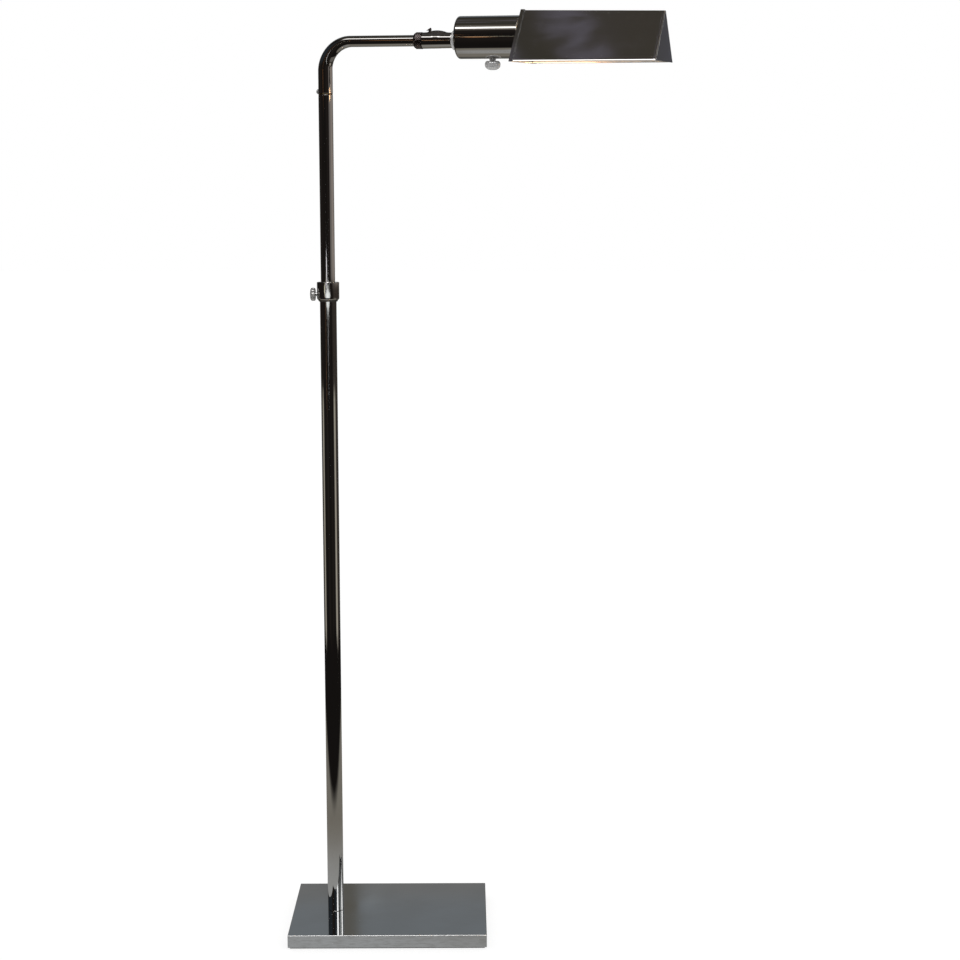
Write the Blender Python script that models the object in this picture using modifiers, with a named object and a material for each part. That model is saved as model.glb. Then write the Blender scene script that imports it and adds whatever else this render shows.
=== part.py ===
"""Adjustable arm floor lamp: a heavy base, a telescoping pole, a swivelling bent arm and a tent shade.

Frame: origin on the floor under the pole, +Z up, the arm and the long side of the base towards +X.
All the dimensions below are in millimetres, and every object is built in metres.
"""

import math

import bmesh
import bpy
from mathutils import Matrix

MM = 0.001
GAP = 0.3

# Base
BASE_LENGTH = 269.4
BASE_DEPTH = 186.0
BASE_LEFT = -58.4
BASE_THICKNESS = 17.7
PAD_THICKNESS = 1.5
PAD_INSET = 3.0
BASE_BOTTOM = PAD_THICKNESS + GAP
BASE_TOP = BASE_BOTTOM + BASE_THICKNESS
RECESS_RADIUS = 16.0
RECESS_DEPTH = 9.0
GROOVE_WIDTH = 8.0
NIPPLE_RADIUS = 4.9
NIPPLE_BORE = 3.2
BUSHING_RADIUS = 3.6

# Pole, collar and mast
POLE_RADIUS = 11.1
POLE_BORE = 10.3
POLE_FOOT = BASE_TOP + GAP
POLE_TOP = 874.4
COLLAR_RADIUS = 14.9
COLLAR_BOTTOM = 868.2
COLLAR_TOP = 894.3
MAST_RADIUS = 9.525
MAST_BORE = 8.325
MAST_BOTTOM = 645.0
MAST_TOP = 1137.5
SPIGOT_RADIUS = 8.0
SPIGOT_TOP = 1157.5

# Thumbscrew on the collar, pointing to -X
CLAMP_HEIGHT = 877.8
CLAMP_SCREW_RADIUS = 2.5
CLAMP_KNOB_RADIUS = 8.7
CLAMP_KNOB_START = 16.8
CLAMP_KNOB_END = 24.0

# Arm: the swivel turns it about Z, and it leaves its bend a little below level
ARM_HEIGHT = 1205.8
ARM_SWIVEL = math.radians(-16.5)
ARM_DROOP = math.radians(1.3)
ARM_BOTTOM = 1139.1
ARM_BEND = 36.0
ARM_RADIUS = 7.1
ARM_WALL = 1.2
ARM_END = 139.5
SWIVEL_SCREW_HEIGHT = 1142.2

# Stations along the arm's axis, from the pole's axis
GLAND_START = 123.7
BARREL_START = 134.8
BARREL_END = 174.8
BARREL_RADIUS = 10.2
WING_STATION = 143.4
FLANGE_START = 175.1
FLANGE_END = 178.8
HOUSING_START = 182.3
HOUSING_END = 264.1
HOUSING_RADIUS = 26.5
HOUSING_WALL = 1.2
SPINDLE_RADIUS = 6.8
SPINDLE_END = 194.0
SOCKET_END = 231.0
SWITCH_STATION = 227.5
KNOB_RADIUS = 10.1

# Shade: a folded sheet between two end plates. Its ridge falls a little towards the front.
# The head is rolled about the arm's axis, and the housing sits a little above that axis.
HEAD_ROLL = math.radians(4.6)
HEAD_RISE = 3.2
SHADE_START = 264.4
SHADE_END = 448.3
RIDGE_BACK = 32.7
RIDGE_FRONT = 29.6
HEM_HEIGHT = -31.4
SHADE_HALF_WIDTH = 58.4
SHADE_SHEET = 1.0
RIDGE_RADIUS = 2.5
HEM_DEPTH = 3.0
PLATE_THICKNESS = 1.2
BULB_RADIUS = 15.0
BULB_END = 345.0

FINE = 32
MEDIUM = 24
COARSE = 14

ALONG_X = (0.0, math.pi / 2, 0.0)
ALONG_MINUS_X = (0.0, -math.pi / 2, 0.0)
ALONG_Y = (-math.pi / 2, 0.0, 0.0)
UPWARD = (0.0, 0.0, 0.0)
DOWNWARD = (math.pi, 0.0, 0.0)


def clear_scene():
    for obj in list(bpy.data.objects):
        bpy.data.objects.remove(obj)


def new_collection(name):
    collection = bpy.data.collections.new(name)
    bpy.context.scene.collection.children.link(collection)
    return collection


def new_material(name, colour, roughness, metallic):
    material = bpy.data.materials.new(name)
    material.use_nodes = True
    shader = material.node_tree.nodes["Principled BSDF"]
    shader.inputs["Base Color"].default_value = (*colour, 1.0)
    shader.inputs["Roughness"].default_value = roughness
    shader.inputs["Metallic"].default_value = metallic
    return material


def new_frame(name, location=(0.0, 0.0, 0.0), rotation=(0.0, 0.0, 0.0), parent=None):
    """An empty that the pieces of one moving group hang from."""
    frame = bpy.data.objects.new(name, None)
    PARTS.objects.link(frame)
    frame.location = [MM * value for value in location]
    frame.rotation_euler = rotation
    frame.parent = parent
    return frame


def place(obj, frame, location, rotation):
    obj.parent = frame
    obj.location = [MM * value for value in location]
    obj.rotation_euler = rotation


def object_from(name, builder, material=None):
    """Turns a bmesh into an object. Without a material it becomes a hidden cutter."""
    mesh = bpy.data.meshes.new(name)
    builder.to_mesh(mesh)
    builder.free()
    obj = bpy.data.objects.new(name, mesh)
    if material is None:
        CUTTERS.objects.link(obj)
        obj.hide_render = True
        obj.display_type = "WIRE"
    else:
        PARTS.objects.link(obj)
        mesh.materials.append(material)
    return obj


def shade_round(obj, angle=35.0):
    obj.data.shade_smooth()
    obj.data.set_sharp_from_angle(angle=math.radians(angle))


def turned(name, outline, material, frame=None, location=(0, 0, 0), rotation=UPWARD, steps=MEDIUM):
    """A turned piece. The outline is (radius, height), down its outer side; a ring's outline is closed."""
    builder = bmesh.new()
    points = [builder.verts.new((MM * radius, 0.0, MM * height)) for radius, height in outline]
    for start, end in zip(points, points[1:]):
        builder.edges.new((start, end))
    if outline[0][0] > 0.0:
        builder.edges.new((points[-1], points[0]))
    obj = object_from(name, builder, material)
    screw = obj.modifiers.new("Turn", "SCREW")
    screw.steps = steps
    screw.render_steps = steps
    screw.use_merge_vertices = True
    screw.merge_threshold = 1e-6
    place(obj, frame, location, rotation)
    return obj


def ring_outline(outer, inner, bottom, top, chamfer=0.0):
    """A tube or ring, with its outer edges chamfered."""
    if chamfer == 0.0:
        return [(outer, top), (outer, bottom), (inner, bottom), (inner, top)]
    return [
        (outer - chamfer, top),
        (outer, top - chamfer),
        (outer, bottom + chamfer),
        (outer - chamfer, bottom),
        (inner, bottom),
        (inner, top),
    ]


def rod_outline(radius, bottom, top, chamfer=0.0):
    """A solid cylinder, with its edges chamfered."""
    if chamfer == 0.0:
        return [(0.0, top), (radius, top), (radius, bottom), (0.0, bottom)]
    return [
        (0.0, top),
        (radius - chamfer, top),
        (radius, top - chamfer),
        (radius, bottom + chamfer),
        (radius - chamfer, bottom),
        (0.0, bottom),
    ]


def arc(centre, radius, start, end, steps):
    """Points on an arc in the outline's plane, from one angle in degrees to another."""
    angles = [math.radians(start + (end - start) * i / steps) for i in range(steps + 1)]
    return [(centre[0] + radius * math.cos(a), centre[1] + radius * math.sin(a)) for a in angles]


def box(name, size, material, frame=None, location=(0, 0, 0), rotation=UPWARD, bevel=0.0):
    builder = bmesh.new()
    bmesh.ops.create_cube(builder, size=MM)
    bmesh.ops.scale(builder, vec=size, verts=builder.verts)
    obj = object_from(name, builder, material)
    if bevel > 0.0:
        rounded = obj.modifiers.new("Edges", "BEVEL")
        rounded.width = MM * bevel
        rounded.segments = 2
    place(obj, frame, location, rotation)
    return obj


def boolean(obj, other, operation="DIFFERENCE"):
    modifier = obj.modifiers.new(operation.title(), "BOOLEAN")
    modifier.object = other
    modifier.operation = operation


def drill(obj, radius, bottom, top, frame=None, location=(0, 0, 0), rotation=UPWARD, steps=COARSE):
    """Cuts a round hole between two heights along the drill's own axis."""
    outline = rod_outline(radius, bottom, top)
    boolean(obj, turned(obj.name + "_drill", outline, None, frame, location, rotation, steps))


def hex_nut(name, flats, bottom, top, hole, material, frame=None, location=(0, 0, 0), rotation=UPWARD):
    builder = bmesh.new()
    corner = MM * flats / 2 / math.cos(math.pi / 6)
    bmesh.ops.create_cone(
        builder,
        cap_ends=True,
        segments=6,
        radius1=corner,
        radius2=corner,
        depth=MM * (top - bottom),
        matrix=Matrix.Translation((0.0, 0.0, MM * (top + bottom) / 2)),
    )
    obj = object_from(name, builder, material)
    place(obj, frame, location, rotation)
    drill(obj, hole, bottom - 1.0, top + 1.0, frame, location, rotation)
    return obj


def tapered_tube(name, path, radii, material, frame):
    """A tube along a path in the XZ plane, with a radius at each point, as a mesh."""
    curve = bpy.data.curves.new(name, "CURVE")
    curve.dimensions = "3D"
    curve.bevel_depth = MM
    curve.bevel_resolution = 10
    curve.use_fill_caps = True
    spline = curve.splines.new("POLY")
    spline.points.add(len(path) - 1)
    for point, (x, z), radius in zip(spline.points, path, radii):
        point.co = (MM * x, 0.0, MM * z, 1.0)
        point.radius = radius
    guide = bpy.data.objects.new(name + "_guide", curve)
    CUTTERS.objects.link(guide)
    bpy.context.view_layer.update()
    mesh = bpy.data.meshes.new_from_object(guide.evaluated_get(bpy.context.evaluated_depsgraph_get()))
    bpy.data.objects.remove(guide)
    builder = bmesh.new()
    builder.from_mesh(mesh)
    bmesh.ops.remove_doubles(builder, verts=builder.verts, dist=1e-6)
    bmesh.ops.recalc_face_normals(builder, faces=builder.faces)
    obj = object_from(name, builder, material)
    place(obj, frame, (0, 0, 0), UPWARD)
    return obj


# Base


def build_base():
    centre = BASE_LEFT + BASE_LENGTH / 2
    pad_size = (BASE_LENGTH - 2 * PAD_INSET, BASE_DEPTH - 2 * PAD_INSET, PAD_THICKNESS)
    box("base_pad", pad_size, FELT, location=(centre, 0, PAD_THICKNESS / 2))
    plate_size = (BASE_LENGTH, BASE_DEPTH, BASE_THICKNESS)
    middle = BASE_BOTTOM + BASE_THICKNESS / 2
    plate = box("base_plate", plate_size, CHROME, location=(centre, 0, middle), bevel=0.7)
    drill(plate, NIPPLE_RADIUS + GAP, 0.0, BASE_TOP + 1.0)
    drill(plate, RECESS_RADIUS, 0.0, BASE_BOTTOM + RECESS_DEPTH, steps=MEDIUM)
    groove_depth = GROOVE_WIDTH + BASE_BOTTOM
    groove = box(
        "base_groove",
        (GROOVE_WIDTH, BASE_DEPTH / 2, groove_depth),
        None,
        location=(0, BASE_DEPTH / 4 + RECESS_RADIUS / 2, groove_depth / 2),
    )
    boolean(plate, groove)
    build_base_fixing()
    build_cord_bushing()


def build_base_fixing():
    hole = NIPPLE_RADIUS + GAP
    ceiling = BASE_BOTTOM + RECESS_DEPTH
    turned("base_nipple", ring_outline(NIPPLE_RADIUS, NIPPLE_BORE, 4.0, 44.0), ZINC, steps=COARSE)
    turned("base_washer", ring_outline(9.5, hole, ceiling - 1.5, ceiling - GAP), ZINC, steps=COARSE)
    hex_nut("base_nut", 16.0, ceiling - 5.8, ceiling - 1.8, hole, ZINC)
    turned("pole_foot_plug", ring_outline(POLE_BORE - GAP, hole, POLE_FOOT, POLE_FOOT + 26.0), ZINC)


def build_cord_bushing():
    """A grommet with a flange, lying in the mouth of the cord groove."""
    bore = 2.6
    outline = [
        (5.4, 2.3),
        (5.4, GAP),
        (BUSHING_RADIUS, GAP),
        (BUSHING_RADIUS, -11.0),
        (bore, -11.0),
        (bore, 2.3),
    ]
    rear = (0, BASE_DEPTH / 2, BASE_BOTTOM + GROOVE_WIDTH / 2)
    turned("cord_bushing", outline, PLASTIC, location=rear, rotation=ALONG_Y, steps=COARSE)


# Pole, collar and thumbscrew


def build_pole():
    turned("lower_pole", ring_outline(POLE_RADIUS, POLE_BORE, POLE_FOOT, POLE_TOP), CHROME, steps=FINE)
    shoulder = POLE_TOP + GAP
    liner_seat = 880.0
    liner_bore = MAST_RADIUS + 0.35
    outline = [
        (COLLAR_RADIUS - 0.8, COLLAR_TOP),
        (COLLAR_RADIUS, COLLAR_TOP - 0.8),
        *arc((COLLAR_RADIUS - 3.2, COLLAR_BOTTOM + 5.0), 3.2, 0, -60, 3),
        (COLLAR_RADIUS - 2.6, COLLAR_BOTTOM),
        (POLE_RADIUS + GAP, COLLAR_BOTTOM),
        (POLE_RADIUS + GAP, shoulder),
        (liner_bore, shoulder),
        (liner_bore, liner_seat),
        (11.2, liner_seat),
        (11.2, COLLAR_TOP),
    ]
    collar = turned("clamp_collar", outline, CHROME, steps=FINE)
    drill(
        collar,
        CLAMP_SCREW_RADIUS + GAP,
        8.0,
        COLLAR_RADIUS + 1.0,
        location=(0, 0, CLAMP_HEIGHT),
        rotation=ALONG_MINUS_X,
    )
    liner = ring_outline(11.2 - GAP, liner_bore, liner_seat + GAP, COLLAR_TOP - GAP)
    turned("collar_liner", liner, PLASTIC, steps=FINE)


def build_clamp():
    """The thumbscrew: a shoe that only slides, and the screw with its knob, which also turn."""
    at = (0, 0, CLAMP_HEIGHT)
    face = MAST_RADIUS + 0.325
    shoe = rod_outline(CLAMP_SCREW_RADIUS - 0.2, face, face + 1.35)
    turned("pressure_shoe", shoe, BRASS, location=at, rotation=ALONG_MINUS_X, steps=COARSE)
    bore_end = CLAMP_KNOB_END - 1.6
    shank = rod_outline(CLAMP_SCREW_RADIUS, face + 1.65, bore_end - GAP)
    turned("clamp_screw", shank, BRIGHT_CHROME, location=at, rotation=ALONG_MINUS_X, steps=COARSE)
    bore = CLAMP_SCREW_RADIUS + GAP
    knob = [
        (0.0, CLAMP_KNOB_END),
        (CLAMP_KNOB_RADIUS - 2.2, CLAMP_KNOB_END - 0.5),
        (CLAMP_KNOB_RADIUS, CLAMP_KNOB_END - 2.0),
        (CLAMP_KNOB_RADIUS, CLAMP_KNOB_START + 1.4),
        (CLAMP_KNOB_RADIUS - 1.4, CLAMP_KNOB_START),
        (bore, CLAMP_KNOB_START),
        (bore, bore_end),
        (0.0, bore_end),
    ]
    turned("clamp_knob", knob, BRIGHT_CHROME, location=at, rotation=ALONG_MINUS_X, steps=MEDIUM)


def build_mast():
    turned("inner_pole", ring_outline(MAST_RADIUS, MAST_BORE, MAST_BOTTOM, MAST_TOP), CHROME, steps=FINE)
    wire_bore = 4.5
    bush = [
        (SPIGOT_RADIUS, MAST_BOTTOM + 15.0),
        (SPIGOT_RADIUS, MAST_BOTTOM - GAP),
        (POLE_BORE - GAP, MAST_BOTTOM - GAP),
        (POLE_BORE - GAP, MAST_BOTTOM - 10.0),
        (wire_bore, MAST_BOTTOM - 10.0),
        (wire_bore, MAST_BOTTOM + 15.0),
    ]
    turned("guide_bush", bush, PLASTIC)
    groove = 6.2
    groove_half = 2.2
    flange_bottom = MAST_TOP + GAP
    spigot = [
        (SPIGOT_RADIUS, SPIGOT_TOP),
        (SPIGOT_RADIUS, SWIVEL_SCREW_HEIGHT + groove_half),
        (groove, SWIVEL_SCREW_HEIGHT + groove_half),
        (groove, SWIVEL_SCREW_HEIGHT - groove_half),
        (SPIGOT_RADIUS, SWIVEL_SCREW_HEIGHT - groove_half),
        (SPIGOT_RADIUS, flange_bottom + 1.0),
        (MAST_RADIUS - 0.2, flange_bottom + 1.0),
        (MAST_RADIUS - 0.2, flange_bottom),
        (SPIGOT_RADIUS, flange_bottom),
        (SPIGOT_RADIUS, MAST_TOP - 20.0),
        (wire_bore, MAST_TOP - 20.0),
        (wire_bore, SPIGOT_TOP),
    ]
    turned("swivel_spigot", spigot, BRASS)


# Arm


def arm_path(bottom, end):
    """The arm's centre line in its own frame: up the leg, round the bend and out along the droop."""
    turn = math.pi / 2 + ARM_DROOP
    tangent = ARM_BEND * math.tan(turn / 2)
    steps = 10
    path = [(0.0, bottom)]
    shares = [0.0]
    for i in range(steps + 1):
        angle = turn * i / steps
        path.append((ARM_BEND - ARM_BEND * math.cos(angle), ARM_BEND * math.sin(angle) - tangent))
        shares.append(i / steps)
    path.append((end * math.cos(ARM_DROOP), -end * math.sin(ARM_DROOP)))
    shares.append(1.0)
    return path, shares


def build_arm_tube(frame):
    """The tube is swaged down from the mast's diameter to the arm's along the bend."""
    path, shares = arm_path(ARM_BOTTOM - ARM_HEIGHT, ARM_END)
    radii = [MAST_RADIUS + (ARM_RADIUS - MAST_RADIUS) * share for share in shares]
    tube = tapered_tube("arm_tube", path, radii, CHROME, frame)
    path, shares = arm_path(ARM_BOTTOM - ARM_HEIGHT - 1.0, ARM_END + 1.0)
    radii = [MAST_RADIUS - ARM_WALL + (ARM_RADIUS - MAST_RADIUS) * share for share in shares]
    boolean(tube, tapered_tube("arm_tube_bore", path, radii, None, frame))
    shade_round(tube)
    screw_at = (0, 0, SWIVEL_SCREW_HEIGHT - ARM_HEIGHT)
    drill(tube, 2.2, 4.0, 12.0, frame, screw_at, ALONG_MINUS_X)
    screw = [
        (0.0, MAST_RADIUS + 3.1),
        (1.7, MAST_RADIUS + 2.8),
        (2.9, MAST_RADIUS + 1.8),
        (3.4, MAST_RADIUS + GAP),
        (1.9, MAST_RADIUS + GAP),
        (1.9, 6.5),
        (0.0, 6.5),
    ]
    turned("swivel_screw", screw, BRIGHT_CHROME, frame, screw_at, ALONG_MINUS_X, COARSE)


def build_swivel_barrel(frame):
    gland_end = BARREL_START - GAP
    gland = [
        (10.0, gland_end),
        (10.6, gland_end - 0.8),
        (10.6, GLAND_START + 2.6),
        (8.9, GLAND_START),
        (ARM_RADIUS + GAP, GLAND_START),
        (ARM_RADIUS + GAP, gland_end),
    ]
    turned("gland_nut", gland, DARK_CHROME, frame, rotation=ALONG_X)
    outline = [
        (0.0, BARREL_END),
        (BARREL_RADIUS - 1.0, BARREL_END),
        (BARREL_RADIUS - 0.5, BARREL_END - 0.8),
        (BARREL_RADIUS, BARREL_START),
        (0.0, BARREL_START),
    ]
    barrel = turned("swivel_barrel", outline, CHROME, frame, rotation=ALONG_X)
    builder = bmesh.new()
    bmesh.ops.create_uvsphere(builder, u_segments=20, v_segments=12, radius=MM)
    bmesh.ops.scale(builder, vec=(20.0, 7.0, 10.2), verts=builder.verts)
    boss = object_from("barrel_boss", builder)
    place(boss, frame, (153.0, 0, 2.4), UPWARD)
    boolean(barrel, boss, "UNION")
    seat_end = ARM_END + GAP
    drill(barrel, ARM_RADIUS + GAP, BARREL_START - 5.0, seat_end, frame, rotation=ALONG_X, steps=MEDIUM)
    spindle_bore = SPINDLE_RADIUS + GAP
    drill(barrel, spindle_bore, seat_end - 0.5, BARREL_END + 1.0, frame, rotation=ALONG_X, steps=MEDIUM)
    drill(barrel, 1.8, 0.0, 16.0, frame, (WING_STATION, 0, 0), UPWARD)


def build_friction_screw(frame):
    """A small wing screw in the boss. Its shoe presses on the spindle."""
    at = (WING_STATION, 0, 0)
    shoe_bottom = SPINDLE_RADIUS + GAP
    turned("friction_shoe", rod_outline(1.5, shoe_bottom, 8.6), PLASTIC, frame, at, steps=COARSE)
    outline = [
        (0.0, 13.2),
        (2.3, 13.2),
        (2.3, 12.5),
        (1.5, 12.5),
        (1.5, 8.9),
        (0.0, 8.9),
    ]
    screw = turned("friction_screw", outline, DARK_CHROME, frame, at, steps=COARSE)
    builder = bmesh.new()
    bmesh.ops.create_cube(builder, size=MM)
    bmesh.ops.scale(builder, vec=(7.0, 1.8, 3.4), verts=builder.verts)
    for vert in builder.verts:
        vert.co.x -= MM
        if vert.co.z > 0.0:
            vert.co.x = MM * (1.9 if vert.co.x > 0.0 else 0.6)
            vert.co.y *= 0.6
    wing = object_from("screw_wing", builder)
    place(wing, frame, (WING_STATION, 0, 14.2), UPWARD)
    boolean(screw, wing, "UNION")


# Head: the frame's X runs along the arm, and the shade's ridge is on its Z side


def build_neck(frame):
    hole = SPINDLE_RADIUS + GAP
    spindle = ring_outline(SPINDLE_RADIUS, 3.6, ARM_END + 0.6, SPINDLE_END)
    turned("head_spindle", spindle, BRASS, frame, rotation=ALONG_X)
    flange = ring_outline(12.0, hole, FLANGE_START, FLANGE_END, 0.6)
    turned("neck_flange", flange, BRIGHT_CHROME, frame, rotation=ALONG_X)
    washer = ring_outline(9.0, hole, FLANGE_END + GAP, HOUSING_START - GAP)
    turned("neck_washer", washer, PLASTIC, frame, rotation=ALONG_X)
    inside = HOUSING_START + HOUSING_WALL
    inner_washer = ring_outline(10.5, hole, inside + GAP, inside + 1.5)
    turned("spindle_washer", inner_washer, ZINC, frame, rotation=ALONG_X)
    hex_nut("spindle_nut", 18.0, inside + 1.8, inside + 6.3, hole, ZINC, frame, rotation=ALONG_X)


def build_housing(frame, spindle_frame):
    """A deep cup. The spindle's hole in its end wall is below the cup's own axis."""
    round_edge = 3.0
    inner = HOUSING_RADIUS - HOUSING_WALL
    corner = (HOUSING_RADIUS - round_edge, HOUSING_START + round_edge)
    outline = [
        (0.0, HOUSING_START + HOUSING_WALL),
        *arc(corner, round_edge - HOUSING_WALL, -90, 0, 3),
        (inner, HOUSING_END),
        (HOUSING_RADIUS, HOUSING_END),
        *arc(corner, round_edge, 0, -90, 4),
        (0.0, HOUSING_START),
    ]
    housing = turned("housing_shell", outline, CHROME, frame, rotation=ALONG_X, steps=FINE)
    wall_end = HOUSING_START + HOUSING_WALL
    hole = SPINDLE_RADIUS + GAP
    drill(housing, hole, HOUSING_START - 1.0, wall_end + 1.0, spindle_frame, rotation=ALONG_X, steps=MEDIUM)
    drill(housing, 4.4, 20.0, 30.0, frame, (SWITCH_STATION, 0, 0), DOWNWARD)


def build_socket(frame, spindle_frame):
    back = SPINDLE_END - 2.6
    floor = 203.0
    body_bore = 14.3
    wire_hole = 3.0
    outline = [
        (17.0, SOCKET_END),
        (17.0, back + 2.0),
        (15.0, back),
        (wire_hole, back),
        (wire_hole, floor),
        (body_bore, floor),
        (body_bore, SOCKET_END),
    ]
    body = turned("socket_body", outline, CERAMIC, frame, rotation=ALONG_X)
    seat = SPINDLE_RADIUS + GAP
    drill(body, seat, back - 1.0, SPINDLE_END + GAP, spindle_frame, rotation=ALONG_X, steps=MEDIUM)
    shell = ring_outline(body_bore - GAP, 13.4, floor + GAP, SOCKET_END - 1.5)
    turned("socket_shell", shell, BRASS, frame, rotation=ALONG_X)
    contact = rod_outline(4.2, floor + GAP, floor + 2.0)
    turned("socket_contact", contact, BRASS, frame, rotation=ALONG_X, steps=COARSE)


def build_bulb(frame):
    tip = 205.4
    cap_radius = 12.9
    cap_end = SOCKET_END
    cap = [
        (0.0, cap_end),
        (cap_radius, cap_end),
        (cap_radius, tip + 4.0),
        (4.5, tip + 1.2),
        (2.8, tip),
        (0.0, tip),
    ]
    turned("bulb_cap", cap, LAMP_CAP, frame, rotation=ALONG_X)
    wall = 0.9
    neck = 12.4
    shoulder = cap_end + 16.0
    centre = (0.0, BULB_END - BULB_RADIUS)
    glass = [
        *arc(centre, BULB_RADIUS, 90, 0, 5),
        (BULB_RADIUS, shoulder),
        (neck, cap_end + 8.0),
        (neck, cap_end + GAP),
        (neck - wall, cap_end + GAP),
        (neck - wall, cap_end + 8.0),
        (BULB_RADIUS - wall, shoulder),
        *arc(centre, BULB_RADIUS - wall, 0, 90, 5),
    ]
    glass[0] = (0.0, BULB_END)
    glass[-1] = (0.0, BULB_END - wall)
    turned("bulb_glass", glass, GLASS, frame, rotation=ALONG_X)


def build_switch(frame):
    """The rotary switch hangs under the socket, and its bushing passes through the housing."""
    at = (SWITCH_STATION, 0, 0)
    box("switch_block", (22.0, 14.0, 5.0), PLASTIC, frame, (SWITCH_STATION, 0, -20.0))
    bushing = ring_outline(4.1, 2.6, 22.8, 28.7)
    turned("switch_bushing", bushing, BRIGHT_CHROME, frame, at, DOWNWARD, COARSE)
    turned("switch_nut", ring_outline(6.3, 4.4, 22.8, 24.0), ZINC, frame, at, DOWNWARD, COARSE)
    top = HOUSING_RADIUS + 2.6
    turned("switch_shaft", rod_outline(2.3, 22.8, top + 9.0), BRASS, frame, at, DOWNWARD, COARSE)
    knob = [
        (0.0, top + 11.4),
        (4.5, top + 11.0),
        (8.2, top + 9.6),
        (KNOB_RADIUS, top + 7.8),
        (KNOB_RADIUS, top + 0.9),
        (KNOB_RADIUS - 1.0, top),
        (2.6, top),
        (2.6, top + 9.3),
        (0.0, top + 9.3),
    ]
    turned("switch_knob", knob, BRIGHT_CHROME, frame, at, DOWNWARD, FINE)


def shade_outline(station, grow=0.0, hem=0.0):
    """The tent's section as (side, height) points: a hem, a panel, the ridge's arc, a panel and a hem."""
    share = (station - SHADE_START) / (SHADE_END - SHADE_START)
    ridge = RIDGE_BACK + (RIDGE_FRONT - RIDGE_BACK) * share
    slope = math.atan2(ridge - HEM_HEIGHT, SHADE_HALF_WIDTH)
    radius = RIDGE_RADIUS + grow
    centre = ridge - RIDGE_RADIUS
    half = []
    for i in range(4):
        angle = slope * i / 3
        half.append((radius * math.sin(angle), centre + radius * math.cos(angle)))
    side, height = half[-1]
    reach = side + (height - HEM_HEIGHT) / math.tan(slope)
    half.append((reach, HEM_HEIGHT))
    if hem > 0.0:
        half.append((reach - hem, HEM_HEIGHT + 0.6))
    return [(-side, height) for side, height in reversed(half[1:])] + half


def loft(name, start, start_outline, end, end_outline, material, frame, closed=True):
    """Joins two outlines of equal length at two stations along X: a closed slab, or an open surface."""
    builder = bmesh.new()
    rings = []
    for station, outline in ((start, start_outline), (end, end_outline)):
        rings.append([builder.verts.new((MM * station, MM * y, MM * z)) for y, z in outline])
    for i in range(len(start_outline) - (not closed)):
        j = (i + 1) % len(start_outline)
        builder.faces.new((rings[0][i], rings[0][j], rings[1][j], rings[1][i]))
    if closed:
        builder.faces.new(rings[0])
        builder.faces.new(rings[1])
    bmesh.ops.recalc_face_normals(builder, faces=builder.faces)
    obj = object_from(name, builder, material)
    place(obj, frame, (0, 0, 0), UPWARD)
    return obj


def build_canopy(frame):
    start = SHADE_START + PLATE_THICKNESS + 0.4
    end = SHADE_END - PLATE_THICKNESS - GAP
    sections = [shade_outline(station, hem=HEM_DEPTH) for station in (start, end)]
    canopy = loft("shade_canopy", start, sections[0], end, sections[1], CHROME, frame, closed=False)
    sheet = canopy.modifiers.new("Sheet", "SOLIDIFY")
    sheet.thickness = MM * SHADE_SHEET
    sheet.offset = -1.0
    sheet.use_even_offset = True


def build_shade_plates(frame):
    """The back plate is a shallow tray round the canopy's end; the front plate is flat."""
    plate_front = SHADE_START + PLATE_THICKNESS
    flange_end = SHADE_START + 5.0
    outer = [shade_outline(station, 1.1) for station in (SHADE_START, flange_end)]
    back = loft("shade_back_plate", SHADE_START, outer[0], flange_end, outer[1], CHROME, frame)
    inside = []
    for station in (plate_front, flange_end + 1.0):
        outline = shade_outline(station, 0.35)
        outline[0] = (outline[0][0] - 5.0, HEM_HEIGHT - 5.0)
        outline[-1] = (outline[-1][0] + 5.0, HEM_HEIGHT - 5.0)
        inside.append(outline)
    boolean(back, loft("back_inside", plate_front, inside[0], flange_end + 1.0, inside[1], None, frame))
    drill(back, 18.5, SHADE_START - 1.0, plate_front + 1.0, frame, rotation=ALONG_X, steps=FINE)
    start = SHADE_END - PLATE_THICKNESS
    front = [shade_outline(station) for station in (start, SHADE_END)]
    loft("shade_front_plate", start, front[0], SHADE_END, front[1], CHROME, frame)
    return back


def build_shade_fixing(frame, back):
    """A ring in the mouth of the housing takes three screws through the back plate."""
    ring_end = HOUSING_END - GAP
    ring = turned(
        "shade_ring", ring_outline(24.9, 19.2, ring_end - 6.7, ring_end), ZINC, frame, rotation=ALONG_X
    )
    head_start = SHADE_START + PLATE_THICKNESS + GAP
    screw = [
        (0.0, head_start + 1.9),
        (1.8, head_start + 1.7),
        (2.6, head_start + 0.7),
        (2.6, head_start),
        (1.3, head_start),
        (1.3, ring_end - 5.5),
        (0.0, ring_end - 5.5),
    ]
    for i in range(3):
        angle = math.radians(90 + 120 * i)
        at = (0, 22.0 * math.cos(angle), 22.0 * math.sin(angle))
        drill(ring, 1.6, ring_end - 8.0, ring_end + 1.0, frame, at, ALONG_X, 12)
        drill(back, 1.6, ring_end - 1.0, head_start + 1.0, frame, at, ALONG_X, 12)
        turned(f"shade_screw_{i + 1}", screw, ZINC, frame, at, ALONG_X, 12)


clear_scene()
PARTS = new_collection("arm_floor_lamp")
CUTTERS = new_collection("cutters")

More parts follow.
